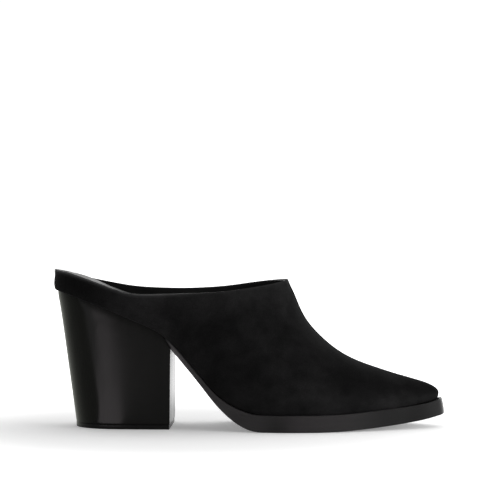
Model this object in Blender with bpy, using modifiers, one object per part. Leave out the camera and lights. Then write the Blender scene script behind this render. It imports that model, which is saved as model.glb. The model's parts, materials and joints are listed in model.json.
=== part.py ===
"""Backless mule for the right foot. A suede upper with a squared-off pointed toe stands on a
black outsole, thick under the forefoot and thin under the arch, and on a high block heel.

X runs from the heel to the toe, Y to the inner side of the foot and Z up, in metres. The
origin is the middle of the heel's base, on the floor."""

import math

import bmesh
import bpy
import numpy as np

MM = 0.001

# Last, the form that the upper is pulled over
LAST_LENGTH = 232.5 * MM
BASE_TO_BACK = 42.4 * MM
BALL_WIDTH = 82.0 * MM
TOE_WIDTH = 17.0 * MM
TOE_CORNER = 4.5 * MM
TOE_SWING = 3.6 * MM
TOE_SPRING = 6.2 * MM
TOE_CURL = 1.7 * MM
HEEL_PITCH = 73.4 * MM
HEEL_END_DEPTH = 28.4 * MM
HEEL_END_SQUARENESS = 2.15
THROAT_HEIGHT = 79.4 * MM
RIDGE_OFFSET = 4.0 * MM
RIDGE_SLOPE = 0.30

# Rim round the heel seat
RIM_HEIGHT = 11.5 * MM
RIM_LEAN = 0.6 * MM

# Upper's wall, and its edge turned in under the footbed
WALL = 2.0 * MM
WALL_FOOT_RADIUS = 0.4 * MM
MARGIN_WIDTH = 7.0 * MM
SEAM_GAP = 0.3 * MM

# Outsole
SOLE_THICKNESS = 9.5 * MM
SOLE_LEDGE = 2.2 * MM
SOLE_FLARE = 1.2 * MM
SOLE_EDGE_ROUND = 0.6 * MM
TOE_EDGE_ROUND = 2.0 * MM
THIN_EDGE_SHARE = 0.5

# Footbed
FOOTBED_THICKNESS = 10.0 * MM
FOOTBED_FRONT = 4.5 * MM
FOOTBED_ROUND = 1.2 * MM
FOOTBED_CLEARANCE = 0.8 * MM
CORE_CLEARANCE = 1.6 * MM

# Heel block and top lift
HEEL_BASE_LENGTH = 57.8 * MM
HEEL_BASE_WIDTH = 54.0 * MM
HEEL_BASE_END_DEPTH = 28.5 * MM
HEEL_BASE_SQUARENESS = 2.1
HEEL_BREAST_LEAN = 0.5 * MM
HEEL_FLARE = 0.9 * MM
HEEL_FLARE_POWER = 8
HEEL_EDGE_ROUND = 0.5 * MM
BREAST_CORNER_SPACE = 2.0 * MM
LIFT_THICKNESS = 2.6 * MM
LIFT_EDGE_ROUND = 0.5 * MM

# Places along the last, as shares of its length from the back. The tread lies flat on the
# floor between the last two, and the sole and footbed turn to their forefoot's sizes before.
FOREFOOT_FROM = 0.300
FLAT_FROM = 0.545
FLAT_TO = 0.725

# Height of the sole's top over its height at the ball, as a share of the pitch, and the sole's
# thickness as a share of its thickness there. along goes from the back to where the flat starts.
ARCH_COLUMNS = ("along", "pitch", "thickness")
ARCH = (
    (0.000, 1.000, 0.21),
    (0.100, 0.961, 0.21),
    (0.202, 0.899, 0.21),
    (0.328, 0.814, 0.22),
    (0.454, 0.717, 0.24),
    (0.525, 0.655, 0.28),
    (0.583, 0.563, 0.32),
    (0.644, 0.444, 0.32),
    (0.714, 0.297, 0.31),
    (0.778, 0.171, 0.41),
    (0.842, 0.087, 0.64),
    (0.913, 0.030, 0.88),
    (1.000, 0.000, 1.00),
)
ARCH_SLOPE_AT_BACK = (-0.25, 0.0)
SPRING_POWER = 1.5
CURL_POWER = 10
TIP_POWER = 8

# Sections of the upper, from the side of the heel to the toe. Each runs from the wall's foot to
# the collar, or to the ridge over the toes. foot and top are shares of the last's length,
# lateral, medial, open and flare of the ball's width, and wall and inner of the throat's
# height. wall is the top's height over the sole, and inner what the inner side has more. side
# is how far up the wall its lower handle stands, and crown how wide its upper handle reaches.
# arrive says from where a section comes to its top: 0 from below, 1 from the side and 2 from
# the front. lean is how far forward the wall slopes below the top.
SECTION_COLUMNS = (
    "foot", "lateral", "medial", "top", "wall", "inner",
    "open", "side", "flare", "crown", "arrive", "lean",
)
SECTIONS = (
    (0.191, 0.364, 0.358, 0.195, 0.189, 0.001, 0.352, 0.33, 0.006, 0.33, 0.00, 0.00),
    (0.251, 0.360, 0.350, 0.260, 0.256, 0.005, 0.353, 0.33, 0.008, 0.33, 0.00, 0.00),
    (0.311, 0.358, 0.340, 0.329, 0.418, 0.002, 0.351, 0.34, 0.010, 0.33, 0.00, 0.00),
    (0.367, 0.366, 0.332, 0.393, 0.645, 0.006, 0.345, 0.36, 0.012, 0.33, 0.00, 0.00),
    (0.419, 0.393, 0.336, 0.453, 0.827, 0.010, 0.333, 0.38, 0.014, 0.33, 0.03, 0.03),
    (0.466, 0.437, 0.360, 0.509, 0.926, 0.012, 0.302, 0.40, 0.016, 0.32, 0.10, 0.12),
    (0.509, 0.477, 0.392, 0.556, 0.969, 0.009, 0.238, 0.42, 0.018, 0.31, 0.26, 0.28),
    (0.544, 0.503, 0.420, 0.588, 0.989, 0.003, 0.138, 0.43, 0.020, 0.34, 0.52, 0.42),
    (0.574, 0.519, 0.440, 0.602, 1.000, 0.000, 0.000, 0.44, 0.022, 0.65, 0.70, 0.44),
    (0.604, 0.527, 0.457, 0.617, 0.925, 0.000, 0.000, 0.45, 0.023, 0.41, 0.82, 0.42),
    (0.638, 0.527, 0.470, 0.641, 0.768, 0.000, 0.000, 0.46, 0.024, 0.44, 0.94, 0.50),
    (0.681, 0.513, 0.478, 0.681, 0.607, 0.000, 0.000, 0.48, 0.023, 0.50, 1.00, 0.00),
    (0.733, 0.475, 0.462, 0.729, 0.480, 0.000, 0.000, 0.50, 0.020, 0.53, 1.00, 0.00),
    (0.789, 0.414, 0.416, 0.779, 0.387, 0.000, 0.000, 0.52, 0.016, 0.55, 1.00, 0.00),
    (0.845, 0.336, 0.348, 0.825, 0.327, 0.000, 0.000, 0.52, 0.012, 0.56, 1.02, 0.00),
    (0.901, 0.250, 0.262, 0.861, 0.282, 0.000, 0.000, 0.50, 0.008, 0.57, 1.12, 0.00),
    (0.948, 0.173, 0.179, 0.889, 0.247, 0.000, 0.000, 0.46, 0.004, 0.58, 1.32, 0.00),
)

# Rim from the back's middle to the side of the heel, in degrees. outer and inner are its height
# over the sole on each side, as shares of its height at the back.
RIM_COLUMNS = ("angle", "outer", "inner")
RIM = (
    (0, 1.00, 1.00),
    (20, 1.06, 0.94),
    (40, 1.13, 0.88),
    (59, 1.17, 0.85),
    (76, 1.20, 0.87),
    (90, 1.23, 0.98),
)
TOE_CORNER_ANGLES = (58, 29, 0)
RIDGE_END = 0.922
RIDGE_END_WALL = 0.205
TOE_ARRIVE = 2.0
TOE_SIDE = 0.28

# Fineness of the meshes
COLUMNS_PER_SECTION = 2
WALL_ROWS = 9
WALL_FOOT_ANGLES = (0, 30, 60)
SKIN_SAMPLES = 17
SKIN_SAMPLED_TO = 0.8
HEEL_RING_SHARES = (0.0, 0.22, 0.44, 0.66, 0.84, 0.94, 1.0)
BREAST_SHARES = (1.0, 0.5, 0.0)
BEVEL_SEGMENTS = 2
BEVEL_ANGLE = 50
SHARP_ANGLE = 35
SLOPE_STEP = 0.5 * MM
MERGE_DISTANCE = 0.001 * MM

# A quarter round in three points, as shares of its radius: in from the side, and off the face.
QUARTER_ROUND = ((1.0, 0.0), (0.3, 0.3), (0.0, 1.0))

BACK = -BASE_TO_BACK
TOE = BACK + LAST_LENGTH
FLAT_START = BACK + FLAT_FROM * LAST_LENGTH
FLAT_END = BACK + FLAT_TO * LAST_LENGTH
FOOT_RADIUS = WALL + WALL_FOOT_RADIUS
HEEL_BASE_BACK = -HEEL_BASE_LENGTH / 2
HEEL_BASE_BREAST = HEEL_BASE_LENGTH / 2
HEEL_TOP_BREAST = HEEL_BASE_BREAST - HEEL_BREAST_LEAN

for thing in list(bpy.data.objects):
    bpy.data.objects.remove(thing)

SHOE = bpy.data.collections.new("mule_shoe")
bpy.context.scene.collection.children.link(SHOE)
HOLDER = bpy.data.objects.new("mule_shoe", None)
SHOE.objects.link(HOLDER)


# Smooth curves

def spline_slopes(knots, values, first=None, last=None):
    """Slopes at the knots of the smooth curve through the values, its ends given or free."""
    count = len(knots)
    step = np.diff(knots)
    rise = np.diff(values, axis=0) / step[:, None]
    matrix = np.zeros((count, count))
    right = np.zeros_like(values)
    for i in range(1, count - 1):
        matrix[i, i - 1 : i + 2] = step[i], 2 * (step[i - 1] + step[i]), step[i - 1]
        right[i] = 3 * (step[i] * rise[i - 1] + step[i - 1] * rise[i])
    for end, beside, slope, chord in ((0, 1, first, rise[0]), (-1, -2, last, rise[-1])):
        matrix[end, end] = 1 if slope is not None else 2
        matrix[end, beside] = 0 if slope is not None else 1
        right[end] = slope if slope is not None else 3 * chord
    return np.linalg.solve(matrix, right)


def spline_at(knots, values, slopes, where):
    """Points of a smooth curve at each place in where."""
    cell = np.clip(np.searchsorted(knots, where, side="right") - 1, 0, len(knots) - 2)
    step = (knots[cell + 1] - knots[cell])[:, None]
    t = (where - knots[cell])[:, None] / step
    return (
        values[cell] * (2 * t**3 - 3 * t**2 + 1)
        + slopes[cell] * step * (t**3 - 2 * t**2 + t)
        + values[cell + 1] * (3 * t**2 - 2 * t**3)
        + slopes[cell + 1] * step * (t**3 - t**2)
    )


def closed_spline_at(knots, values, where):
    """Points of a smooth closed curve. The last knot stands for the first value again."""
    span = knots[-1]
    before, here, after = knots[:-1] - span, knots[:-1], knots + span
    slopes = spline_slopes(
        np.concatenate([before, here, after]),
        np.concatenate([values, values, values, values[:1]]),
    )
    ring_slopes = np.concatenate([slopes[len(values) : 2 * len(values)]] * 2)
    return spline_at(
        knots,
        np.concatenate([values, values[:1]]),
        ring_slopes[: len(values) + 1],
        where,
    )


def walked(points):
    """Distance along a chain of points, at each of them."""
    return np.concatenate([[0.0], np.cumsum(np.linalg.norm(np.diff(points, axis=0), axis=1))])


def finer(knots, parts):
    """The knots, with each of their intervals cut into equal parts."""
    pieces = [np.linspace(a, b, parts, endpoint=False) for a, b in zip(knots, knots[1:])]
    return np.concatenate(pieces + [knots[-1:]])


# Sole line, from the seat down the arch to the ball and up to the toe

ARCH_POINTS = np.array(ARCH)
ARCH_SLOPES = spline_slopes(
    ARCH_POINTS[:, 0],
    ARCH_POINTS[:, 1:],
    first=np.array(ARCH_SLOPE_AT_BACK),
    last=np.zeros(len(ARCH_COLUMNS) - 1),
)


def arch_at(x):
    """Pitch and thickness shares of the sole line at x."""
    along = np.clip((x - BACK) / (FLAT_START - BACK), 0, 1)
    return spline_at(ARCH_POINTS[:, 0], ARCH_POINTS[:, 1:], ARCH_SLOPES, along).T


def toe_share(x):
    """0 up to the end of the flat tread and 1 at the last's toe."""
    return np.clip((x - FLAT_END) / (TOE - FLAT_END), 0, None)


def sole_top(x):
    """Height of the sole's top at x."""
    forward = toe_share(x)
    spring = TOE_SPRING * forward**SPRING_POWER + TOE_CURL * forward**CURL_POWER
    return SOLE_THICKNESS + HEEL_PITCH * arch_at(x)[0] + spring


def square_rise(x):
    """Vertical step that stands for a step of one square to the sole's top at x."""
    slope = (sole_top(x + SLOPE_STEP) - sole_top(x - SLOPE_STEP)) / (2 * SLOPE_STEP)
    return np.sqrt(1 + slope**2)


def above_sole(x, distance):
    """Height of a point at x that stands a distance clear of the sole's top."""
    return sole_top(x) + square_rise(x) * distance


def sole_bottom(x):
    """Height of the sole's lower face at x. The tread is flat where it meets the floor."""
    thickness = SOLE_THICKNESS * arch_at(x)[1]
    return np.maximum(above_sole(x, -thickness), 0.0)


def forefoot_share(x):
    """0 under the heel and 1 from the ball on, with a smooth change under the arch."""
    along = (x - BACK) / LAST_LENGTH
    share = np.clip((along - FOREFOOT_FROM) / (FLAT_FROM - FOREFOOT_FROM), 0, 1)
    return share * share * (3 - 2 * share)


# Last

def named_sections():
    """The table's sections with their values in metres."""
    rows = []
    for values in SECTIONS:
        row = dict(zip(SECTION_COLUMNS, values))
        for place in ("foot", "top"):
            row[place] = BACK + row[place] * LAST_LENGTH
        for width in ("lateral", "medial", "open", "flare"):
            row[width] *= BALL_WIDTH
        for height in ("wall", "inner"):
            row[height] *= THROAT_HEIGHT
        rows.append(row)
    return rows


def heel_end_sections(side):
    """Sections round the heel, from the back's middle to its side."""
    rows = []
    for values in RIM:
        rim = dict(zip(RIM_COLUMNS, values))
        turn = math.radians(rim["angle"])
        power = 2 / HEEL_END_SQUARENESS
        along = max(math.cos(turn), 0.0) ** power if rim["angle"] < 90 else 0.0
        across = math.sin(turn) ** power
        foot = BACK + HEEL_END_DEPTH * (1 - along)
        centre = BACK + HEEL_END_DEPTH
        lateral = side["lateral"] * across
        inward = RIM_LEAN / math.hypot(centre - foot, lateral)
        rows.append(dict(
            side,
            foot=foot,
            lateral=lateral,
            medial=side["medial"] * across,
            top=foot + (centre - foot) * inward,
            open=lateral * (1 - inward),
            wall=RIM_HEIGHT * rim["outer"],
            inner=RIM_HEIGHT * (rim["inner"] - rim["outer"]),
        ))
    return rows


def toe_end_sections(side):
    """Sections round the squared-off toe, from its corner to its middle."""
    outline = [
        (
            TOE - TOE_CORNER * (1 - math.cos(math.radians(angle))),
            TOE_WIDTH / 2 - TOE_CORNER * (1 - math.sin(math.radians(angle))),
        )
        for angle in TOE_CORNER_ANGLES
    ]
    outline.append((TOE, 0.0))
    end = {
        "top": BACK + RIDGE_END * LAST_LENGTH,
        "wall": RIDGE_END_WALL * THROAT_HEIGHT,
        "side": TOE_SIDE,
        "flare": 0.0,
        "arrive": TOE_ARRIVE,
    }
    rows = []
    for count, (foot, half) in enumerate(outline, start=1):
        share = count / len(outline)
        blend = {name: side[name] + (value - side[name]) * share for name, value in end.items()}
        rows.append(dict(side, foot=foot, lateral=half, medial=half, **blend))
    return rows


def control_points(row, hand):
    """Foot, lower handle, upper handle and top of a section.

    hand is -1 on the outer side and 1 on the inner. The lower handle is a step from the foot."""
    half = row["lateral"] if hand < 0 else row["medial"]
    place = np.array([row["foot"], row["top"]])
    base = above_sole(place, SEAM_GAP + FOOT_RADIUS)[0]
    height = sole_top(place)[1] + row["wall"] + (row["inner"] if hand > 0 else 0.0)
    tall = height - base
    ridge_y = RIDGE_OFFSET * (TOE - row["top"]) / LAST_LENGTH
    top = np.array([row["top"], hand * row["open"] if row["open"] > 0 else ridge_y, height])
    below = np.array([row["lean"], 0.0, -1.0]) * row["crown"] * tall
    beside = np.array([0.0, hand, 0.0]) * row["crown"] * half
    before = np.array([1.0, 0.0, -RIDGE_SLOPE]) * row["crown"] * (row["foot"] - row["top"])
    from_below = max(0.0, 1 - row["arrive"])
    from_side = max(0.0, 1 - abs(row["arrive"] - 1))
    from_front = max(0.0, row["arrive"] - 1)
    reach = below * from_below + beside * from_side + before * from_front
    foot = np.array([row["foot"], hand * half])
    lower = np.array([0.0, hand * row["flare"], row["side"] * tall])
    return foot, lower, top + reach, top


def collar_and_ridge(top, throat, toe):
    """Finer tops: the collar is one closed curve, and the ridge goes from its throat to the toe."""
    collar = np.concatenate([top[: throat + 1], top[2 * toe - throat + 1 :]])
    collar_knots = walked(np.concatenate([collar, collar[:1]]))
    collar_places = finer(collar_knots, COLUMNS_PER_SECTION)[:-1]
    around_collar = closed_spline_at(collar_knots, collar, collar_places)
    ridge = top[throat : toe + 1]
    ridge_knots = walked(ridge)
    ridge_places = finer(ridge_knots, COLUMNS_PER_SECTION)
    along_ridge = spline_at(ridge_knots, ridge, spline_slopes(ridge_knots, ridge), ridge_places)
    split = throat * COLUMNS_PER_SECTION
    back_along_ridge = along_ridge[-2:0:-1]
    return np.concatenate(
        [around_collar[:split], along_ridge, back_along_ridge, around_collar[split:]]
    )


def lasted_columns():
    """Control points of each column of the upper, once round: outer side, toe, inner side."""
    sections = named_sections()
    rows = heel_end_sections(sections[0]) + sections + toe_end_sections(sections[-1])
    toe = len(rows) - 1
    throat = max(range(len(rows)), key=lambda i: rows[i]["wall"])
    outer = [control_points(row, -1) for row in rows]
    inner = [control_points(row, 1) for row in rows[1:-1]]
    foot, lower, upper, top = (np.array(kind) for kind in zip(*(outer + inner[::-1])))
    knots = walked(np.concatenate([foot, foot[:1]]))
    places = finer(knots, COLUMNS_PER_SECTION)[:-1]
    foot, lower, upper = (closed_spline_at(knots, kind, places) for kind in (foot, lower, upper))
    return foot, lower, upper, collar_and_ridge(top, throat, toe)


FOOT, LOWER, UPPER, TOPS = lasted_columns()
COLUMN_COUNT = len(FOOT)
HALF_COUNT = COLUMN_COUNT // 2


# Outlines and rings

def grown(outline, distance):
    """Outline moved away from the last's middle line, or towards it by a negative distance."""
    middle = np.zeros_like(outline)
    middle[:, 0] = np.clip(outline[:, 0], BACK + HEEL_END_DEPTH, TOE - TOE_WIDTH)
    away = outline - middle
    away /= np.linalg.norm(away, axis=1)[:, None]
    return outline + away * np.reshape(distance, (-1, 1))


def over_sole(outline, distance):
    """Ring that follows an outline at a distance clear of the sole's top."""
    return np.column_stack([outline, above_sole(outline[:, 0], distance)])


def wall_ring(t):
    """Ring of the upper's outer skin, from the wall's foot (0) to the collar and ridge (1)."""
    foot = over_sole(FOOT, SEAM_GAP + FOOT_RADIUS)
    weights = (1 - t) ** 3, 3 * t * (1 - t) ** 2, 3 * t**2 * (1 - t), t**3
    return sum(w * p for w, p in zip(weights, (foot, foot + LOWER, UPPER, TOPS)))


def skin_outline(distance):
    """Outline of the upper's outer skin at a distance clear of the sole's top."""
    skin = np.stack([wall_ring(t) for t in np.linspace(0, SKIN_SAMPLED_TO, SKIN_SAMPLES)])
    distance = np.broadcast_to(distance, COLUMN_COUNT)
    outline = np.empty((COLUMN_COUNT, 2))
    for c in range(COLUMN_COUNT):
        x, y, z = skin[:, c].T
        clear = (z - sole_top(x)) / square_rise(x)
        outline[c] = np.interp(distance[c], clear, x), np.interp(distance[c], clear, y)
    return outline


# Meshes

def swung(points):
    """Points bent to the inner side in front of the heel, as a right last is."""
    share = np.clip((points[:, 0] - HEEL_BASE_BREAST) / (TOE - HEEL_BASE_BREAST), 0, None)
    return points + np.outer(TOE_SWING * share**2, (0, 1, 0))


def make_object(name, rings, extra_faces, colour, roughness):
    """Object whose faces join each ring to the next, with its own material."""
    columns = len(rings[0])
    faces = list(extra_faces)
    for low in range(0, (len(rings) - 1) * columns, columns):
        for c in range(columns):
            beside = (c + 1) % columns
            faces.append((low + c, low + beside, low + columns + beside, low + columns + c))
    mesh = bpy.data.meshes.new(name)
    mesh.from_pydata(swung(np.concatenate(rings)).tolist(), [], faces)
    shape = bmesh.new()
    shape.from_mesh(mesh)
    bmesh.ops.remove_doubles(shape, verts=shape.verts, dist=MERGE_DISTANCE)
    shape.to_mesh(mesh)
    shape.free()
    mesh.shade_smooth()
    mesh.set_sharp_from_angle(angle=math.radians(SHARP_ANGLE))
    material = bpy.data.materials.new(name)
    material.use_nodes = True
    shader = material.node_tree.nodes["Principled BSDF"]
    shader.inputs["Base Color"].default_value = (*colour, 1.0)
    shader.inputs["Roughness"].default_value = roughness
    shader.inputs["Metallic"].default_value = 0.0
    mesh.materials.append(material)
    thing = bpy.data.objects.new(name, mesh)
    thing.parent = HOLDER
    SHOE.objects.link(thing)
    return thing


def closed_object(name, rings, colour, roughness):
    """Closed solid through a stack of rings. The first ring is closed below, the last on top."""
    columns = len(rings[0])
    caps = []
    for start, upwards in ((0, False), ((len(rings) - 1) * columns, True)):
        for k in range(columns // 2):
            outer = [start + k, start + k + 1]
            inner = [start + columns - k - 1, start + (columns - k) % columns]
            face = list(dict.fromkeys(outer + inner))
            caps.append(face if upwards else face[::-1])
    return make_object(name, rings, caps, colour, roughness)


def round_edges(thing, width):
    """Small round along the sharp edges of a block."""
    bevel = thing.modifiers.new("rounding", "BEVEL")
    bevel.width = width
    bevel.segments = BEVEL_SEGMENTS
    bevel.limit_method = "ANGLE"
    bevel.angle_limit = math.radians(BEVEL_ANGLE)


# Upper

def make_upper():
    """Suede shell, open at the collar, the back and underneath, with its edge turned in."""
    rings = [
        over_sole(grown(FOOT, -FOOT_RADIUS - width), SEAM_GAP)
        for width in (MARGIN_WIDTH, MARGIN_WIDTH / 2)
    ]
    for angle in WALL_FOOT_ANGLES:
        turn = math.radians(angle)
        outline = grown(FOOT, -FOOT_RADIUS * (1 - math.sin(turn)))
        rings.append(over_sole(outline, SEAM_GAP + FOOT_RADIUS * (1 - math.cos(turn))))
    rings += [wall_ring(t) for t in np.linspace(0, 1, WALL_ROWS + 1)]
    upper = make_object("upper", rings, [], (0.010, 0.010, 0.011), 0.95)
    wall = upper.modifiers.new("wall", "SOLIDIFY")
    wall.thickness = WALL
    wall.offset = -1
    wall.use_even_offset = True
    wall.use_quality_normals = True


# Outsole

def sole_edge():
    """Outline of the sole's top: a ledge round the forefoot, tucked under the wall behind."""
    front = forefoot_share(FOOT[:, 0])
    return grown(FOOT, SOLE_LEDGE * front - FOOT_RADIUS * (1 - front))


def make_outsole():
    """One sole, from a thin layer over the heel to the thick forefoot."""
    edge = sole_edge()
    front = forefoot_share(edge[:, 0])
    flare = SOLE_FLARE * front
    radius = SOLE_EDGE_ROUND * (THIN_EDGE_SHARE + (1 - THIN_EDGE_SHARE) * front)
    tip = np.minimum(toe_share(FOOT[:, 0]), 1) ** TIP_POWER
    top_radius = radius + (TOE_EDGE_ROUND - radius) * tip
    rings = []
    for inset, off_face in QUARTER_ROUND:
        outline = grown(edge, flare - inset * radius)
        height = sole_bottom(outline[:, 0]) + off_face * radius
        rings.append(np.column_stack([outline, height]))
    for inset, off_face in reversed(QUARTER_ROUND):
        rings.append(over_sole(grown(edge, -inset * top_radius), -off_face * top_radius))
    closed_object("outsole", rings, (0.020, 0.020, 0.021), 0.45)


# Footbed

def make_insole():
    """Padded footbed. It lies on the turned-in edge, and its core reaches the sole."""
    core = grown(FOOT, -(FOOT_RADIUS + MARGIN_WIDTH + CORE_CLEARANCE))
    front = forefoot_share(FOOT[:, 0])
    top = FOOTBED_THICKNESS + (FOOTBED_FRONT - FOOTBED_THICKNESS) * front
    over_margin = WALL + 2 * SEAM_GAP
    inside = WALL + FOOTBED_CLEARANCE
    rings = [over_sole(core, SEAM_GAP), over_sole(core, over_margin)]
    for inset, off_face in QUARTER_ROUND:
        distance = over_margin + off_face * FOOTBED_ROUND
        outline = grown(skin_outline(distance), -inside - inset * FOOTBED_ROUND)
        rings.append(over_sole(outline, distance))
    for inset, off_face in reversed(QUARTER_ROUND):
        distance = top - off_face * FOOTBED_ROUND
        outline = grown(skin_outline(distance), -inside - inset * FOOTBED_ROUND)
        rings.append(over_sole(outline, distance))
    closed_object("insole", rings, (0.013, 0.013, 0.013), 0.35)


# Heel

def heel_halves(half):
    """One half of the heel's outline under the sole, and the same points at its base."""
    at_breast = np.interp(HEEL_TOP_BREAST, half[:, 0], half[:, 1])
    behind = half[half[:, 0] < HEEL_TOP_BREAST - BREAST_CORNER_SPACE]
    breast = [(HEEL_TOP_BREAST, at_breast * share) for share in BREAST_SHARES]
    top = np.concatenate([behind, breast])
    along = (top[:, 0] - top[0, 0]) / (HEEL_TOP_BREAST - top[0, 0])
    x = HEEL_BASE_BACK + along * HEEL_BASE_LENGTH
    depth = np.clip(1 - (x - HEEL_BASE_BACK) / HEEL_BASE_END_DEPTH, 0, 1)
    width = HEEL_BASE_WIDTH / 2 * (1 - depth**HEEL_BASE_SQUARENESS) ** (1 / HEEL_BASE_SQUARENESS)
    width[-len(BREAST_SHARES) :] = width[-len(BREAST_SHARES)] * np.array(BREAST_SHARES)
    return top, np.column_stack([x, np.sign(at_breast) * width])


def heel_outlines():
    """The heel's outlines under the sole and at its base, with the breast square across."""
    edge = sole_edge()
    outer_top, outer_base = heel_halves(edge[: HALF_COUNT + 1])
    inner_top, inner_base = heel_halves(np.concatenate([edge[:1], edge[: HALF_COUNT - 1 : -1]]))
    top = np.concatenate([outer_top, inner_top[-2:0:-1]])
    base = np.concatenate([outer_base, inner_base[-2:0:-1]])
    return top, base


def make_heel():
    """Tall block that narrows downwards, cut on top to the slope of the seat."""
    top, base = heel_outlines()
    flare = HEEL_FLARE / (HEEL_BASE_BACK - BACK)
    floor = LIFT_THICKNESS + SEAM_GAP
    rings = []
    for share in HEEL_RING_SHARES:
        spread = (1 - flare) * share + flare * share**HEEL_FLARE_POWER
        outline = base + (top - base) * spread
        x = outline[:, 0]
        seat = sole_bottom(x) - square_rise(x) * SEAM_GAP
        rings.append(np.column_stack([outline, floor + (seat - floor) * share]))
    heel = closed_object("heel", rings, (0.013, 0.012, 0.011), 0.25)
    round_edges(heel, HEEL_EDGE_ROUND)


def make_top_lift():
    """Hard plate under the heel, with the outline of the heel's base."""
    base = heel_outlines()[1]
    rings = [np.column_stack([base, np.full(len(base), z)]) for z in (0.0, LIFT_THICKNESS)]
    lift = closed_object("top_lift", rings, (0.016, 0.016, 0.016), 0.40)
    round_edges(lift, LIFT_EDGE_ROUND)


make_upper()
make_outsole()
make_insole()
make_heel()
make_top_lift()
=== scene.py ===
"""Dresses the mule: a suede shell with its lining, a padded footbed, a sole with a dressed edge
and a polished heel, on a white studio floor. Lengths are in metres, X runs to the toe."""

import json
import math

import bmesh
import bpy
import numpy as np
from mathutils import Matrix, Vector, noise
from mathutils.kdtree import KDTree

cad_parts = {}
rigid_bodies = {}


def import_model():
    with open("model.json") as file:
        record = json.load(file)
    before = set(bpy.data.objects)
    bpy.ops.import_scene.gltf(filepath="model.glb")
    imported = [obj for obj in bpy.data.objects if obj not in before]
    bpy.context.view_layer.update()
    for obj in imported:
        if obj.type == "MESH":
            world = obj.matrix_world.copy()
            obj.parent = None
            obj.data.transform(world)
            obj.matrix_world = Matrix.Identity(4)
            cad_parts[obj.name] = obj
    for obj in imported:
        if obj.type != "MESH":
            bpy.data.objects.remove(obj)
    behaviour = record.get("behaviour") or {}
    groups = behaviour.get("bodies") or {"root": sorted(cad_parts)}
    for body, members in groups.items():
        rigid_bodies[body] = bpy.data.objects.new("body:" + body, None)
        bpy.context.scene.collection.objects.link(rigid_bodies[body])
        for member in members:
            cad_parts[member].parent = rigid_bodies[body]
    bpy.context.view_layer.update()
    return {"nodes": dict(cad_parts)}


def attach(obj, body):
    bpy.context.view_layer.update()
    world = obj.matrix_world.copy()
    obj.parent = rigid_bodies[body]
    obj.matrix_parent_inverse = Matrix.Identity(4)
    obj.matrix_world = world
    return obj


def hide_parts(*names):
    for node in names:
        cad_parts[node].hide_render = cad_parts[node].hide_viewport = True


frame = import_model()
MM = 0.001


# Suede shell
# The outside of the upper is one piece of black calf suede, 1.3 mm thick. It is drawn over the
# last while damp, so that it needs no seam over the toe, and its margin is turned in under the
# footbed. Round the heel seat it stands up as a narrow rim.

SUEDE_THICKNESS = 1.3 * MM
SUEDE_EDGE_ROUND = 0.45 * MM
TOPLINE_REACH = 4.0 * MM
FOOT_FILL = 2.0 * MM
FOOT_FULL_FACING = 0.4
LEAST_LEVEL = 0.01
COLLAR_RISE = 1.3 * MM
COLLAR_FROM, COLLAR_LENGTH = 5.0 * MM, 103.0 * MM
COLLAR_BASE, COLLAR_DEPTH = 52.0 * MM, 24.0 * MM
COLLAR_SIDE_REACH = 10.0 * MM
THROAT_FROM, THROAT_LENGTH = 66.0 * MM, 30.0 * MM
THROAT_BASE, THROAT_DEPTH = 62.0 * MM, 26.0 * MM
THROAT_LEAN = 1.8 * MM
THROAT_CORNER = (98.0 * MM, 78.0 * MM)
THROAT_CORNER_RADIUS = 26.0 * MM
THROAT_EDGE_KEPT = 3.0 * MM
THROAT_SOFTENING = 60
NOSE_CENTRE = (184.0 * MM, 0.0, 23.0 * MM)
NOSE_RADIUS = 10.0 * MM
NOSE_RISE = 0.8 * MM
NOSE_FACING = 0.2
UPPER_SMOOTHING = 2
MERGE_DISTANCE = 0.01 * MM
TURN_ANGLE = math.radians(50)
DRAPE_SIZE = 14.0 * MM
DRAPE_DEPTH = 0.16 * MM

# Creases of the vamp and the waist. Each is a soft trough with a ridge along either side. side is
# -1 for the outer side of the foot and 1 for the inner, and the rest is in millimetres: from
# start to end along X and Z, with half the trough's width and its depth. A ridge lies at 1.9
# half widths from the trough's middle, and is 0.35 of its depth high.
RIDGE_PLACE, RIDGE_SPREAD, RIDGE_SHARE = 1.9, 0.8, 0.35
CREASE_COLUMNS = ("side", "start_x", "start_z", "end_x", "end_z", "half_width", "depth")
CREASES = (
    (-1, 52.0, 66.0, 60.0, 56.0, 3.0, 0.20),
    (-1, 62.0, 74.0, 68.0, 62.0, 2.6, 0.22),
    (-1, 64.0, 48.0, 76.0, 38.0, 4.0, 0.26),
    (-1, 76.0, 58.0, 88.0, 50.0, 3.4, 0.20),
    (-1, 90.0, 47.0, 100.0, 36.0, 3.8, 0.24),
    (-1, 104.0, 50.0, 116.0, 40.0, 3.2, 0.16),
    (-1, 118.0, 34.0, 128.0, 22.0, 4.2, 0.22),
    (-1, 44.0, 60.0, 50.0, 47.0, 3.6, 0.22),
    (-1, 63.5, 82.5, 67.0, 79.0, 1.3, 0.16),
    (1, 60.0, 70.0, 68.0, 58.0, 3.0, 0.22),
    (1, 70.0, 50.0, 82.0, 38.0, 4.0, 0.26),
    (1, 92.0, 46.0, 104.0, 34.0, 4.0, 0.24),
    (1, 112.0, 40.0, 124.0, 26.0, 4.2, 0.20),
)

# Patches of painted shade and painted light on the suede, darker at the heel end of the rim and
# over the waist, paler at the ball and the toe: X, Z and radius in millimetres, and the tone in
# the patch's middle.
SUEDE_PAINTED_LIGHT_PATCHES = (
    (-40.0, 84.0, 60.0, 0.15),
    (44.0, 48.0, 44.0, 0.54),
    (64.0, 22.0, 34.0, 0.64),
    (158.0, 14.0, 16.0, 1.30),
    (104.0, 28.0, 14.0, 1.15),
    (185.0, 20.0, 16.0, 1.50),
)
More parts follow.
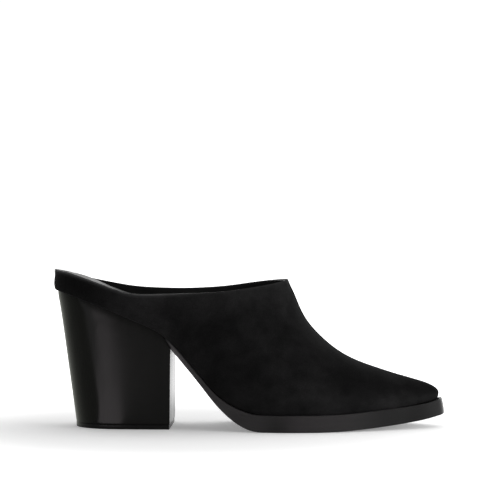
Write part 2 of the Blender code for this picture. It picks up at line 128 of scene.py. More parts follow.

# A painted highlight along the collar's edge: how much is added from the edge to 4 mm in, and how
# that fades along X in metres. Painted shade darkens the nap that faces up.
TOPLINE_PAINTED_HIGHLIGHT = ((0.0, 0.035), (0.12, 0.045), (0.24, 0.010), (0.60, 0.0))
TOPLINE_HIGHLIGHT_ALONG = ((0.022, 1.0), (0.045, 0.2))
UPWARD_PAINTED_SHADE = ((0.10, 1.0), (0.70, 0.45))


def alone(piece):
    """Selects one piece and nothing else."""
    bpy.ops.object.select_all(action="DESELECT")
    piece.select_set(True)
    bpy.context.view_layer.objects.active = piece


def merged_copy(node, name):
    """A frame node's mesh as a new piece, its corners merged and its triangles paired up."""
    piece = bpy.data.objects.new(name, frame["nodes"][node].data.copy())
    piece.data.name = name
    piece.data.materials.clear()
    bpy.context.scene.collection.objects.link(piece)
    alone(piece)
    bpy.ops.mesh.customdata_custom_splitnormals_clear()
    bpy.ops.object.mode_set(mode="EDIT")
    bpy.ops.mesh.select_all(action="SELECT")
    bpy.ops.mesh.remove_doubles(threshold=MERGE_DISTANCE)
    bpy.ops.mesh.tris_convert_to_quads(face_threshold=TURN_ANGLE, shape_threshold=TURN_ANGLE)
    bpy.ops.mesh.select_all(action="DESELECT")
    bpy.ops.object.mode_set(mode="OBJECT")
    return piece


def keep_wall(piece, seed):
    """Keeps the smooth stretch of a closed shell round the seed face, up to its sharp edges."""
    alone(piece)
    bpy.ops.object.mode_set(mode="EDIT")
    bpy.ops.mesh.select_mode(type="EDGE")
    bpy.ops.mesh.edges_select_sharp(sharpness=TURN_ANGLE)
    bpy.ops.mesh.mark_seam()
    bpy.ops.mesh.select_all(action="DESELECT")
    bpy.ops.mesh.select_mode(type="FACE")
    bpy.ops.object.mode_set(mode="OBJECT")
    piece.data.polygons[seed].select = True
    bpy.ops.object.mode_set(mode="EDIT")
    bpy.ops.mesh.select_linked(delimit={"SEAM"})
    bpy.ops.mesh.select_all(action="INVERT")
    bpy.ops.mesh.delete(type="FACE")
    bpy.ops.mesh.select_all(action="SELECT")
    bpy.ops.mesh.mark_seam(clear=True)
    bpy.ops.mesh.select_all(action="DESELECT")
    bpy.ops.object.mode_set(mode="OBJECT")


def apply_modifier(piece, kind, **settings):
    """Adds a modifier to a piece and applies it."""
    alone(piece)
    modifier = piece.modifiers.new(kind.lower(), kind)
    for name, value in settings.items():
        setattr(modifier, name, value)
    bpy.ops.object.modifier_apply(modifier=modifier.name)


def smoothed(piece, levels):
    """Subdivides a piece so that its facets turn into a curved surface."""
    apply_modifier(piece, "SUBSURF", levels=levels, render_levels=levels)


def hold_edges(piece, crease):
    """Keeps a piece's sharp edges crisp under the subdivision."""
    alone(piece)
    bpy.ops.object.mode_set(mode="EDIT")
    bpy.ops.mesh.select_mode(type="EDGE")
    bpy.ops.mesh.select_all(action="DESELECT")
    bpy.ops.mesh.edges_select_sharp(sharpness=TURN_ANGLE)
    bpy.ops.transform.edge_crease(value=crease)
    bpy.ops.mesh.select_all(action="DESELECT")
    bpy.ops.object.mode_set(mode="OBJECT")


def vertex_array(piece, kind):
    """Positions or normals of a mesh's vertices, as rows of three numbers."""
    values = np.empty(len(piece.data.vertices) * 3)
    piece.data.vertices.foreach_get(kind, values)
    return values.reshape(-1, 3)


def move_vertices(piece, points):
    """Puts a mesh's vertices at new places."""
    piece.data.vertices.foreach_set("co", points.ravel())
    piece.data.update()


def slope(values, start, length):
    """0 up to the start, 1 from the start plus the length on, and straight in between."""
    return np.clip((values - start) / length, 0, 1)


def eased(share):
    """Rounds off both ends of a slope."""
    return share * share * (3 - 2 * share)


def open_edge(piece):
    """Corners along the highest open edge of a wall, which is the collar."""
    shape = bmesh.new()
    shape.from_mesh(piece.data)
    shape.verts.ensure_lookup_table()
    rim = {v.index for e in shape.edges if e.is_boundary for v in e.verts}
    found = {max(rim, key=lambda i: shape.verts[i].co.z)}
    fresh = set(found)
    while fresh:
        beside = {
            end.index
            for i in fresh
            for edge in shape.verts[i].link_edges
            if edge.is_boundary
            for end in edge.verts
        }
        fresh = beside - found
        found |= fresh
    points = [shape.verts[i].co.copy() for i in found]
    shape.free()
    return points


def collar_distances(piece):
    """How far each corner of a wall lies from the collar's edge."""
    points = open_edge(piece)
    tree = KDTree(len(points))
    for index, point in enumerate(points):
        tree.insert(point, index)
    tree.balance()
    return np.array([tree.find(vertex.co)[2] for vertex in piece.data.vertices])


def mark_topline(piece):
    """Stores how far each corner lies from the collar's edge: 0 on it, 1 from 4 mm on."""
    attribute = piece.data.attributes.new("topline", "FLOAT", "POINT")
    away = np.minimum(collar_distances(piece) / TOPLINE_REACH, 1.0)
    attribute.data.foreach_set("value", away)


def fill_foot(piece):
    """Pushes the rounded foot of the wall out to the sole, so that no gap shows over it."""
    points = vertex_array(piece, "co")
    normals = vertex_array(piece, "normal")
    level = np.linalg.norm(normals[:, :2], axis=1)
    push = FOOT_FILL * (1 - level) * slope(level, 0, FOOT_FULL_FACING) * (normals[:, 2] < 0)
    points[:, :2] += normals[:, :2] * (push / np.maximum(level, LEAST_LEVEL))[:, None]
    move_vertices(piece, points)


def raise_collar(piece):
    """Lifts the outer side's collar a little, so that it stands nearly as high as the inner."""
    points = vertex_array(piece, "co")
    along = slope(points[:, 0], COLLAR_FROM, COLLAR_LENGTH)
    high = slope(points[:, 2], COLLAR_BASE, COLLAR_DEPTH)
    outer = slope(-points[:, 1], 0, COLLAR_SIDE_REACH)
    points[:, 2] += COLLAR_RISE * np.sin(math.pi * along) * high * outer
    move_vertices(piece, points)


def lean_throat(piece):
    """Leans the throat's upper edge forward, as it springs open over the instep."""
    points = vertex_array(piece, "co")
    front = eased(slope(points[:, 0], THROAT_FROM, THROAT_LENGTH))
    high = eased(slope(points[:, 2], THROAT_BASE, THROAT_DEPTH))
    points[:, 0] += THROAT_LEAN * front * high
    move_vertices(piece, points)


def soften_throat(piece):
    """Rounds the fold that runs down from the throat's corner, and keeps the collar's edge."""
    away = vertex_array(piece, "co")[:, [0, 2]] - THROAT_CORNER
    near = np.exp(-((np.linalg.norm(away, axis=1) / THROAT_CORNER_RADIUS) ** 4))
    weights = near * np.minimum(collar_distances(piece) / THROAT_EDGE_KEPT, 1.0)
    group = piece.vertex_groups.new(name="throat")
    for index, weight in enumerate(weights):
        group.add([index], weight, "REPLACE")
    apply_modifier(piece, "SMOOTH", factor=0.5, iterations=THROAT_SOFTENING, vertex_group="throat")
    piece.vertex_groups.clear()


def round_nose(piece):
    """Fills out the top of the toe, where the stiffener under the suede ends bluntly."""
    points = vertex_array(piece, "co")
    upwards = np.clip(vertex_array(piece, "normal")[:, 2] + NOSE_FACING, 0, 1)
    near = np.exp(-(np.linalg.norm(points - NOSE_CENTRE, axis=1) / NOSE_RADIUS) ** 2)
    points[:, 2] += NOSE_RISE * near * upwards
    move_vertices(piece, points)


def crease_push(points):
    """How far each point is pushed inwards by the creases, and outwards by their ridges."""
    push = np.zeros(len(points))
    for values in CREASES:
        crease = dict(zip(CREASE_COLUMNS, values))
        start = np.array([crease["start_x"], crease["start_z"]]) * MM
        run = np.array([crease["end_x"], crease["end_z"]]) * MM - start
        flat = points[:, [0, 2]] - start
        along = np.clip(flat @ run / (run @ run), 0, 1)
        away = np.linalg.norm(flat - along[:, None] * run, axis=1) / (crease["half_width"] * MM)
        trough = np.exp(-(away**2))
        ridge = np.exp(-((away - RIDGE_PLACE) ** 2) / RIDGE_SPREAD)
        on_side = np.sign(points[:, 1]) == crease["side"]
        push += on_side * crease["depth"] * MM * (trough - RIDGE_SHARE * ridge)
    return push


def worn_in(piece, inwards):
    """Moves a wall of the upper by its creases and by the slow waves of drawn leather. inwards is
    -1 for a wall that faces out of the shoe and 1 for one that faces into it."""
    points = vertex_array(piece, "co")
    normals = vertex_array(piece, "normal")
    waves = np.array([noise.noise(Vector(point) / DRAPE_SIZE) for point in points])
    move = crease_push(points) + DRAPE_DEPTH * waves
    points += normals * (inwards * move)[:, None]
    move_vertices(piece, points)


def give_wall(piece, thickness, edge_round):
    """Thickens a wall inwards, rounds its edges and shades it smooth."""
    apply_modifier(piece, "SOLIDIFY", thickness=thickness, offset=-1, use_even_offset=True)
    apply_modifier(piece, "BEVEL", width=edge_round, segments=2, limit_method="ANGLE",
                   angle_limit=TURN_ANGLE)
    bpy.ops.object.shade_smooth()


def new_material(name, **constants):
    """A Principled material with its constant values set on the shader's own sockets."""
    material = bpy.data.materials.new(name)
    material.use_nodes = True
    shader = material.node_tree.nodes["Principled BSDF"]
    for socket, value in constants.items():
        shader.inputs[socket.replace("_", " ").title().replace("Ior", "IOR")].default_value = value
    return material, material.node_tree, shader


def object_place(tree):
    """The piece's own coordinates."""
    return tree.nodes.new("ShaderNodeTexCoord").outputs["Object"]


def grain(tree, scale, detail, stretch=(1.0, 1.0, 1.0)):
    """Noise on the piece's own coordinates, with its features stretched."""
    mapping = tree.nodes.new("ShaderNodeMapping")
    mapping.inputs["Scale"].default_value = stretch
    texture = tree.nodes.new("ShaderNodeTexNoise")
    texture.inputs["Scale"].default_value = scale
    texture.inputs["Detail"].default_value = detail
    tree.links.new(object_place(tree), mapping.inputs["Vector"])
    tree.links.new(mapping.outputs["Vector"], texture.inputs["Vector"])
    return texture.outputs["Fac"]


def along_axis(tree, vector, axis):
    """One axis of a vector."""
    parts = tree.nodes.new("ShaderNodeSeparateXYZ")
    tree.links.new(vector, parts.inputs["Vector"])
    return parts.outputs[axis]


def distance_from(tree, vector, point):
    """How far a place lies from a fixed point."""
    node = tree.nodes.new("ShaderNodeVectorMath")
    node.operation = "DISTANCE"
    node.inputs[1].default_value = point
    tree.links.new(vector, node.inputs[0])
    return node.outputs["Value"]


def mapped(tree, value, limits, kind="SMOOTHSTEP"):
    """Turns a range of values into another: limits are from, to, first result, last result."""
    node = tree.nodes.new("ShaderNodeMapRange")
    node.interpolation_type = kind
    for socket, limit in zip(("From Min", "From Max", "To Min", "To Max"), limits):
        node.inputs[socket].default_value = limit
    tree.links.new(value, node.inputs["Value"])
    return node.outputs["Result"]


def ramp(tree, value, *stops):
    """Colours between stops of (place, grey or colour)."""
    node = tree.nodes.new("ShaderNodeValToRGB")
    elements = node.color_ramp.elements
    while len(elements) < len(stops):
        elements.new(0.5)
    for element, (place, colour) in zip(elements, stops):
        element.position = place
        rgb = (colour,) * 3 if isinstance(colour, float) else colour
        element.color = (*rgb, 1.0)
    tree.links.new(value, node.inputs["Fac"])
    return node.outputs["Color"]


def mixed(tree, blend_type, first, second):
    """Two colours put together, the second over the first."""
    node = tree.nodes.new("ShaderNodeMix")
    node.data_type = "RGBA"
    node.blend_type = blend_type
    node.inputs["Factor"].default_value = 1.0
    tree.links.new(first, node.inputs["A"])
    tree.links.new(second, node.inputs["B"])
    return node.outputs["Result"]


def bumped(tree, shader, *layers):
    """Bumps the shader by layers of (height, depth in metres, strength), the coarsest first."""
    below = None
    for height, depth, strength in layers:
        bump = tree.nodes.new("ShaderNodeBump")
        bump.inputs["Distance"].default_value = depth
        bump.inputs["Strength"].default_value = strength
        tree.links.new(height, bump.inputs["Height"])
        if below is not None:
            tree.links.new(below, bump.inputs["Normal"])
        below = bump.outputs["Normal"]
    tree.links.new(below, shader.inputs["Normal"])


def suede():
    """Short matt nap, blotchy where it was brushed, with a painted highlight along the collar's edge,
    painted shade on what faces up, and patches of painted light and shade.
    """
    material, tree, shader = new_material(
        "black_suede",
        roughness=0.95,
        specular_ior_level=0.04,
        sheen_weight=0.012,
        sheen_roughness=0.5,
        sheen_tint=(0.80, 0.80, 0.82, 1.0),
    )
    patches = grain(tree, 40.0, 5.0)
    blotches = grain(tree, 170.0, 3.0)
    fibres = grain(tree, 2600.0, 2.0)
    pile = grain(tree, 900.0, 3.0)
    base = ramp(tree, patches, (0.38, (0.0064, 0.0064, 0.0065)), (0.64, (0.0126, 0.0124, 0.0126)))
    marks = ramp(tree, blotches, (0.34, 0.84), (0.68, 1.18))
    hair = ramp(tree, fibres, (0.35, 0.75), (0.68, 1.25))
    colour = mixed(tree, "MULTIPLY", mixed(tree, "MULTIPLY", base, marks), hair)
    place = object_place(tree)
    flat = tree.nodes.new("ShaderNodeMapping")
    flat.inputs["Scale"].default_value = (1.0, 0.0, 1.0)
    tree.links.new(place, flat.inputs["Vector"])
    # Patches of painted shade and painted light are multiplied into the suede's colour.
    for x, z, radius, tone in SUEDE_PAINTED_LIGHT_PATCHES:
        away = distance_from(tree, flat.outputs["Vector"], (x * MM, 0.0, z * MM))
        patch = mapped(tree, away, (0.0, radius * MM, tone, 1.0))
        colour = mixed(tree, "MULTIPLY", colour, patch)
    # Painted shade: what faces up is darkened, so that the top of the vamp looks no brighter than its
    # sides.
    facing = tree.nodes.new("ShaderNodeNewGeometry")
    upwards = along_axis(tree, facing.outputs["Normal"], "Z")
    colour = mixed(tree, "MULTIPLY", colour, ramp(tree, upwards, *UPWARD_PAINTED_SHADE))
    # Painted highlight: a paler band added along the collar's edge, strongest towards the back of the
    # shoe.
    edge = tree.nodes.new("ShaderNodeAttribute")
    edge.attribute_name = "topline"
    wear_and_highlight = ramp(tree, edge.outputs["Fac"], *TOPLINE_PAINTED_HIGHLIGHT)
    fading = ramp(tree, along_axis(tree, place, "X"), *TOPLINE_HIGHLIGHT_ALONG)
    colour = mixed(tree, "ADD", colour, mixed(tree, "MULTIPLY", wear_and_highlight, fading))
    tree.links.new(colour, shader.inputs["Base Color"])
    bumped(tree, shader, (blotches, 0.25 * MM, 0.3), (pile, 0.20 * MM, 0.5), (fibres, 0.10 * MM, 0.6))
    return material


shell = merged_copy("upper", "suede_shell")
keep_wall(shell, min(shell.data.polygons, key=lambda face: face.center.y).index)
smoothed(shell, UPPER_SMOOTHING)
mark_topline(shell)
fill_foot(shell)
raise_collar(shell)
lean_throat(shell)
soften_throat(shell)
round_nose(shell)
worn_in(shell, -1)
give_wall(shell, SUEDE_THICKNESS, SUEDE_EDGE_ROUND)
shell.data.materials.append(suede())
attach(shell, "root")
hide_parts("upper")


# Lining
# The inside of the upper is lined with thin black leather, smooth and a little glossy. It is
# glued to the suede and trimmed at the collar to the same edge.

LINING_THICKNESS = 0.6 * MM
LINING_EDGE_ROUND = 0.15 * MM
INNER_WALL_FACING = 0.7


def lining_leather(name, roughness, tone, gloss_level):
    """Smooth leather with fine pores, and slow changes of tone where it was rubbed."""
    material, tree, shader = new_material(name, specular_ior_level=gloss_level)
    pores = grain(tree, 1500.0, 2.0)
    wear_and_highlight = grain(tree, 70.0, 3.0)
    colour = ramp(tree, wear_and_highlight, (0.35, tone * 0.8), (0.68, tone * 1.25))
    gloss = ramp(tree, wear_and_highlight, (0.30, roughness - 0.06), (0.70, roughness + 0.08))
    tree.links.new(colour, shader.inputs["Base Color"])
    tree.links.new(gloss, shader.inputs["Roughness"])
    bumped(tree, shader, (wear_and_highlight, 0.30 * MM, 0.2), (pores, 0.06 * MM, 0.35))
    return material


lining = merged_copy("upper", "lining")
facing_in = [face for face in lining.data.polygons if face.normal.y > INNER_WALL_FACING]
keep_wall(lining, min(facing_in, key=lambda face: face.center.y).index)
smoothed(lining, UPPER_SMOOTHING)
raise_collar(lining)
lean_throat(lining)
soften_throat(lining)
worn_in(lining, 1)
give_wall(lining, LINING_THICKNESS, LINING_EDGE_ROUND)
lining.data.materials.append(lining_leather("lining_leather", 0.45, 0.014, 0.45))
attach(lining, "root")


# Outsole
# One layer of black sole, 9.5 mm thick under the forefoot and thin from the arch to the back. Its
# edge is trimmed, inked and waxed to a soft gloss, and stands out as a narrow ledge at the toe.

SOLE_SMOOTHING = 2
EDGE_CREASE = 0.7
SEAT_CENTRE = -14.0 * MM
SEAT_FRONT = 31.5 * MM
SEAT_FADE = 3.0 * MM
SEAT_INSET = 1.9 * MM
LEDGE_RISE = 0.9 * MM
LEDGE_FROM, LEDGE_END = 40.0 * MM, 186.0 * MM
LEDGE_FADE = 30.0 * MM
LEDGE_FACING = 0.4

# Painted light and shade along the sole's edge, as paler and darker bands that stand in for what
# the edge mirrors: (X in metres, share).
SOLE_EDGE_PAINTED_LIGHT = (
    (0.050, 0.75),
    (0.062, 1.10),
    (0.080, 1.10),
    (0.094, 0.60),
    (0.110, 1.0),
    (0.138, 0.95),
    (0.158, 0.28),
    (0.185, 0.12),
)


def seat_share(x):
    """1 over the heel, and 0 from its breast on."""
    return slope(-x, -SEAT_FRONT, SEAT_FADE)


def tuck_under_seat(piece):
    """Draws the sole's edge in over the heel, where the heel's cover laps it."""
    points = vertex_array(piece, "co")
    middle = np.zeros_like(points[:, :2])
    middle[:, 0] = np.maximum(points[:, 0], SEAT_CENTRE)
    away = points[:, :2] - middle
    distance = np.linalg.norm(away, axis=1)
    inset = np.minimum(SEAT_INSET * seat_share(points[:, 0]), distance)
    points[:, :2] -= away * (inset / np.maximum(distance, MM))[:, None]
    move_vertices(piece, points)


def raise_ledge(piece):
    """Lifts the sole's top to the foot of the suede, from the arch to the toe's ledge."""
    points = vertex_array(piece, "co")
    faces = [face for face in piece.data.polygons if face.normal.z > LEDGE_FACING]
    top = sorted({i for face in faces for i in face.vertices})
    share = slope(points[top, 0], LEDGE_FROM, LEDGE_FADE)
    share *= slope(-points[top, 0], -LEDGE_END, LEDGE_FADE)
    points[top, 2] += LEDGE_RISE * share
    move_vertices(piece, points)


def waxed_edge():
    """Inked and waxed edge with faint lines along it from the trimming wheel, and bands of painted
    light and shade along its length.
    """
    material, tree, shader = new_material("waxed_sole", specular_ior_level=0.28)
    lines = grain(tree, 380.0, 2.0, stretch=(0.06, 0.06, 1.0))
    specks = grain(tree, 900.0, 2.0)
    colour = ramp(tree, lines, (0.35, (0.0146, 0.0136, 0.0140)), (0.68, (0.0176, 0.0164, 0.0169)))
    # Painted reflection: bands of painted light and shade along X are multiplied into the edge's
    # colour.
    painted_light_along = ramp(tree, along_axis(tree, object_place(tree), "X"), *SOLE_EDGE_PAINTED_LIGHT)
    colour = mixed(tree, "MULTIPLY", colour, painted_light_along)
    gloss = ramp(tree, specks, (0.30, 0.34), (0.72, 0.46))
    tree.links.new(colour, shader.inputs["Base Color"])
    tree.links.new(gloss, shader.inputs["Roughness"])
    bumped(tree, shader, (lines, 0.12 * MM, 0.25), (specks, 0.05 * MM, 0.25))
    return material


sole = merged_copy("outsole", "sole")
tuck_under_seat(sole)
raise_ledge(sole)
hold_edges(sole, EDGE_CREASE)
smoothed(sole, SOLE_SMOOTHING)
bpy.ops.object.shade_smooth_by_angle(angle=TURN_ANGLE)
sole.data.materials.append(waxed_edge())
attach(sole, "root")
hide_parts("outsole")


# Heel
# A moulded block in a polished black cover, 77 mm tall at the back. It is screwed on from inside
# before the footbed goes in, and its top is hollowed to the slope of the seat.

HEEL_SMOOTHING = 2
HEEL_CREASE = 0.85
BREAST_FROM = 16.0 * MM
BREAST_FADE = 8.0 * MM
BREAST_FOOT = 0.3 * MM
BREAST_LEAN = 0.018
LIP_HEIGHT = 3.6 * MM
LIP_WIDTH = 1.1 * MM
LIP_CENTRE = -4.0 * MM
CAP_LOWEST = 30.0 * MM
CAP_FACING = 0.8


def seat_faces(piece):
    """Selects the faces of the heel's top and nothing else."""
    for face in piece.data.polygons:
        face.select = face.normal.z > CAP_FACING and face.center.z > CAP_LOWEST


def seat_outline(piece):
    """Corners along the outline of the selected faces."""
    uses = {}
    for face in piece.data.polygons:
        for edge in face.edge_keys if face.select else ():
            uses[edge] = uses.get(edge, 0) + 1
    return sorted({i for edge, count in uses.items() if count == 1 for i in edge})


def doubled_top(piece):
    """Extrudes the selected top by nothing, and gives the corners' positions afterwards."""
    alone(piece)
    bpy.ops.object.mode_set(mode="EDIT")
    bpy.ops.mesh.select_mode(type="FACE")
    bpy.ops.mesh.extrude_region()
    bpy.ops.object.mode_set(mode="OBJECT")
    return vertex_array(piece, "co")


def turn_up_lip(piece):
    """Raises the rim of the heel's top round the sole's thin edge, with the seat left inside."""
    seat_faces(piece)
    points = vertex_array(piece, "co")
    rim = seat_outline(piece)
    points[rim, 2] += LIP_HEIGHT * seat_share(points[rim, 0])
    move_vertices(piece, points)
    points = doubled_top(piece)
    inner = seat_outline(piece)
    away = points[inner, :2] - (LIP_CENTRE, 0)
    points[inner, :2] -= away * (LIP_WIDTH / np.linalg.norm(away, axis=1))[:, None]
    move_vertices(piece, points)
    points = doubled_top(piece)
    bottom = seat_outline(piece)
    points[bottom, 2] -= LIP_HEIGHT * seat_share(points[bottom, 0])
    move_vertices(piece, points)


def set_breast(piece):
    """Stands the heel's flat front a little further forward, more so at the top."""
    points = vertex_array(piece, "co")
    share = slope(points[:, 0], BREAST_FROM, BREAST_FADE)
    points[:, 0] += share * (BREAST_FOOT + BREAST_LEAN * points[:, 2])
    move_vertices(piece, points)


def polished_cover():
    """Deep black polish, with faint upright streaks that break up what it mirrors."""
    material, tree, shader = new_material("polished_heel", specular_ior_level=0.08)
    streaks = grain(tree, 80.0, 2.0, stretch=(1.0, 1.0, 0.12))
    specks = grain(tree, 1400.0, 2.0)
    colour = ramp(tree, streaks, (0.35, (0.0025, 0.0025, 0.0022)), (0.70, (0.0038, 0.0037, 0.0034)))
    gloss = ramp(tree, streaks, (0.30, 0.17), (0.70, 0.25))
    tree.links.new(colour, shader.inputs["Base Color"])
    tree.links.new(gloss, shader.inputs["Roughness"])
    bumped(tree, shader, (specks, 0.02 * MM, 0.15))
    return material


heel = merged_copy("heel", "heel_block")
set_breast(heel)
turn_up_lip(heel)
hold_edges(heel, HEEL_CREASE)
smoothed(heel, HEEL_SMOOTHING)
bpy.ops.object.shade_smooth_by_angle(angle=TURN_ANGLE)
heel.data.materials.append(polished_cover())
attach(heel, "root")
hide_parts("heel")


# Top lift
# A hard plate under the heel, 2.6 mm thick, pinned on and trimmed flush. Its cut edge is duller
# than the heel's polish, and its underside is pebbled for grip.

LIFT_SMOOTHING = 2
LIFT_RAISE = 0.3 * MM


def lift_rubber():
    """Hard rubber with a finely pebbled skin."""
    material, tree, shader = new_material("lift_rubber", specular_ior_level=0.10)
    pebbles = grain(tree, 1200.0, 2.0)
    colour = ramp(tree, pebbles, (0.35, 0.005), (0.70, 0.008))
    gloss = ramp(tree, pebbles, (0.30, 0.26), (0.70, 0.38))
    tree.links.new(colour, shader.inputs["Base Color"])
    tree.links.new(gloss, shader.inputs["Roughness"])
    bumped(tree, shader, (pebbles, 0.08 * MM, 0.4))
    return material


lift = merged_copy("top_lift", "lift_plate")
lift_points = vertex_array(lift, "co")
lift_points[lift_points[:, 2] > lift_points[:, 2].mean(), 2] += LIFT_RAISE
move_vertices(lift, lift_points)
hold_edges(lift, HEEL_CREASE)
smoothed(lift, LIFT_SMOOTHING)
bpy.ops.object.shade_smooth_by_angle(angle=TURN_ANGLE)
lift.data.materials.append(lift_rubber())
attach(lift, "root")
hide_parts("top_lift")


# Footbed
# A layer of foam under black leather, cut to the last and pressed in over the turned-in margin.
# The leather is drawn round the foam's edge, so the seat is softly crowned.

FOOTBED_VOXEL = 1.1 * MM
FOOTBED_SOFTENING = 6
CROWN_HEIGHT = 1.6 * MM
CROWN_HALF_WIDTH = 26.0 * MM
CROWN_FROM, CROWN_FADE = -10.0 * MM, 18.0 * MM
CROWN_POWER = 3
WAIST_DIP = 0.9 * MM
DIP_CENTRE, DIP_LENGTH = -7.0 * MM, 13.0 * MM


def crown_seat(piece):
    """Swells the top of the footbed over the heel, highest along its middle."""
    points = vertex_array(piece, "co")
    upwards = np.clip(vertex_array(piece, "normal")[:, 2], 0, 1)
    behind = np.minimum(points[:, 0] - SEAT_CENTRE, 0)
    off_middle = np.hypot(behind, points[:, 1]) / CROWN_HALF_WIDTH
    fade = eased(slope(-points[:, 0], -CROWN_FROM, CROWN_FADE))
    crown = np.clip(1 - off_middle**CROWN_POWER, 0, 1) * fade
    dip = np.exp(-(((points[:, 0] - DIP_CENTRE) / DIP_LENGTH) ** 2))
    points[:, 2] += (CROWN_HEIGHT * crown - WAIST_DIP * dip) * upwards
    move_vertices(piece, points)


footbed = merged_copy("insole", "footbed")
apply_modifier(footbed, "REMESH", mode="VOXEL", voxel_size=FOOTBED_VOXEL)
apply_modifier(footbed, "SMOOTH", factor=0.5, iterations=FOOTBED_SOFTENING)
crown_seat(footbed)
bpy.ops.object.shade_smooth()
footbed.data.materials.append(lining_leather("footbed_leather", 0.42, 0.014, 0.20))
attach(footbed, "root")
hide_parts("insole")


# Studio
# A white floor that glows away from the shoe, a room that is brighter behind the toe than in
# front of the heel, and cards that the polish mirrors. The camera has the photo's angle: almost
# level with the shoe, and far away with a long lens.

FLOOR_WIDTH = 3.0
FLOOR_FRONT, FLOOR_BACK = -0.75, 1.2
FLOOR_MIDDLE = (0.045, -0.03, 0.0)
GLOW_FROM, GLOW_TO = 0.10, 0.30
GLOW_NEAR, GLOW_FAR = 0.25, 1.1
CAMERA_AZIMUTH = math.radians(2.9)
CAMERA_ELEVATION = math.radians(4.2)
CAMERA_DISTANCE = 4.5
CAMERA_REACH = 30.0
SENSOR_WIDTH = 36.0
IMAGE_PIXELS = 500
METRES_PER_PIXEL = 0.605 * MM
HEEL_PIXEL = (124.2, 425.2)
CARD_HEIGHT = 1.0 * MM
TOE_LIGHT_PLACE = (0.42, -0.25, 0.08)
TOE_LIGHT_TARGET = (0.16, -0.04, 0.02)
TOE_LIGHT_SIZE = 0.2
TOE_LIGHT_POWER = 0.55
BACKDROP_STRENGTH = 1.05

bpy.ops.mesh.primitive_plane_add(size=1.0, location=(0, 0, 0))
floor = bpy.context.object
floor.name = "floor"
for corner in floor.data.vertices:
    corner.co.x *= FLOOR_WIDTH
    corner.co.y = FLOOR_FRONT if corner.co.y < 0 else FLOOR_BACK
paper, paper_tree, paper_shader = new_material(
    "white_paper", base_color=(0.88, 0.88, 0.88, 1.0), roughness=0.9, specular_ior_level=0.0,
    emission_color=(1.0, 1.0, 1.0, 1.0),
)
floor_distance = distance_from(paper_tree, object_place(paper_tree), FLOOR_MIDDLE)
glow = mapped(paper_tree, floor_distance, (GLOW_FROM, GLOW_TO, GLOW_NEAR, GLOW_FAR))
paper_tree.links.new(glow, paper_shader.inputs["Emission Strength"])
floor.data.materials.append(paper)

# Cards that lie on the floor, seen by the shoe's polish alone: one for the heel's bright band and
# one for its front, three for the sole's edge under the arch, the ball and the toe, and a dim one
# for the heel's dark sides. name, colour, brightness, corners along X and Y in millimetres
CARDS = (
    ("heel_card", (1.0, 0.93, 0.96), 5.4, (
        (-2.0, -40.0), (-24.0, -30.0), (-110.0, -135.0), (-140.0, -500.0), (-72.0, -850.0))),
    ("front_card", (1.0, 1.0, 0.98), 0.98, (
        (0.0, -42.0), (30.0, -42.0), (40.0, -850.0), (-66.0, -850.0))),
    ("arch_card", (1.0, 0.98, 0.98), 2.6, (
        (62.0, -50.0), (84.0, -50.0), (84.0, -300.0), (62.0, -300.0))),
    ("sole_card", (1.0, 0.90, 0.93), 3.0, (
        (100.0, -50.0), (165.0, -50.0), (165.0, -300.0), (100.0, -300.0))),
    ("toe_card", (1.0, 1.0, 1.0), 0.24, (
        (170.0, -48.0), (170.0, -400.0), (700.0, -500.0), (500.0, -60.0), (206.0, -20.0))),
    ("dim_card", (0.97, 1.0, 0.90), 0.75, (
        (-26.0, -24.0), (-20.0, 30.0), (0.0, 1200.0), (-1400.0, 1200.0), (-1400.0, -900.0),
        (-160.0, -190.0))),
)

for name, colour, brightness, corners in CARDS:
    bpy.ops.object.select_all(action="DESELECT")
    bpy.ops.mesh.primitive_circle_add(vertices=len(corners), fill_type="NGON")
    card = bpy.context.object
    card.name = name
    for vertex, (x, y) in zip(card.data.vertices, corners):
        vertex.co = (x * MM, y * MM, CARD_HEIGHT)
    shine = new_material(
        name, base_color=(0.0, 0.0, 0.0, 1.0), specular_ior_level=0.0,
        emission_color=(*colour, 1.0), emission_strength=brightness,
    )
    card.data.materials.append(shine[0])
    card.visible_camera = False
    card.visible_diffuse = False
    card.visible_transmission = False
    card.visible_shadow = False

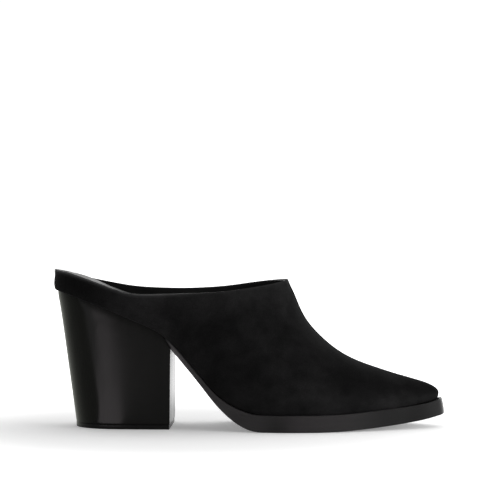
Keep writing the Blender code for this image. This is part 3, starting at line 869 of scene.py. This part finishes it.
right = Vector((math.cos(CAMERA_AZIMUTH), math.sin(CAMERA_AZIMUTH), 0))
towards = Vector((
    math.sin(CAMERA_AZIMUTH) * math.cos(CAMERA_ELEVATION),
    -math.cos(CAMERA_AZIMUTH) * math.cos(CAMERA_ELEVATION),
    math.sin(CAMERA_ELEVATION),
))
up = towards.cross(right)
aim = (
    right * (IMAGE_PIXELS / 2 - HEEL_PIXEL[0]) + up * (HEEL_PIXEL[1] - IMAGE_PIXELS / 2)
) * METRES_PER_PIXEL
camera_data = bpy.data.cameras.new("camera")
camera_data.sensor_width = SENSOR_WIDTH
camera_data.lens = SENSOR_WIDTH * CAMERA_DISTANCE / (IMAGE_PIXELS * METRES_PER_PIXEL)
camera_data.clip_end = CAMERA_REACH
camera = bpy.data.objects.new("camera", camera_data)
camera.location = aim + towards * CAMERA_DISTANCE
camera.rotation_euler = (-towards).to_track_quat("-Z", "Y").to_euler()
bpy.context.scene.collection.objects.link(camera)
bpy.context.scene.camera = camera

# A small soft light in front of the toe, which the polish doesn't mirror
light_data = bpy.data.lights.new("toe_light", "AREA")
light_data.shape = "SQUARE"
light_data.size = TOE_LIGHT_SIZE
light_data.energy = TOE_LIGHT_POWER
light = bpy.data.objects.new("toe_light", light_data)
light.location = TOE_LIGHT_PLACE
light.visible_glossy = False
light_aim = Vector(TOE_LIGHT_TARGET) - light.location
light.rotation_euler = light_aim.to_track_quat("-Z", "Y").to_euler()
bpy.context.scene.collection.objects.link(light)

# The room's light along one level axis: bright behind the toe and dim in front of the heel. A
# white backdrop stands in its place for the camera.
SKY_AXIS = (0.62, 0.78, 0.0)
SKY_SHADES = (-0.15, 0.45, 0.25, 2.0)

world = bpy.data.worlds.new("studio")
bpy.context.scene.world = world
world.use_nodes = True
sky = world.node_tree
sky.nodes.clear()
seen = sky.nodes.new("ShaderNodeBackground")
seen.inputs["Color"].default_value = (1.0, 1.0, 1.0, 1.0)
seen.inputs["Strength"].default_value = BACKDROP_STRENGTH
direction = sky.nodes.new("ShaderNodeTexCoord")
along = sky.nodes.new("ShaderNodeVectorMath")
along.operation = "DOT_PRODUCT"
along.inputs[1].default_value = SKY_AXIS
sky.links.new(direction.outputs["Generated"], along.inputs[0])
shade = mapped(sky, along.outputs["Value"], SKY_SHADES, "LINEAR")
lighting = sky.nodes.new("ShaderNodeBackground")
sky.links.new(shade, lighting.inputs["Strength"])
ray = sky.nodes.new("ShaderNodeLightPath")
either = sky.nodes.new("ShaderNodeMixShader")
out = sky.nodes.new("ShaderNodeOutputWorld")
sky.links.new(ray.outputs["Is Camera Ray"], either.inputs["Fac"])
sky.links.new(lighting.outputs["Background"], either.inputs[1])
sky.links.new(seen.outputs["Background"], either.inputs[2])
sky.links.new(either.outputs["Shader"], out.inputs["Surface"])

bpy.context.scene.view_settings.view_transform = "Standard"
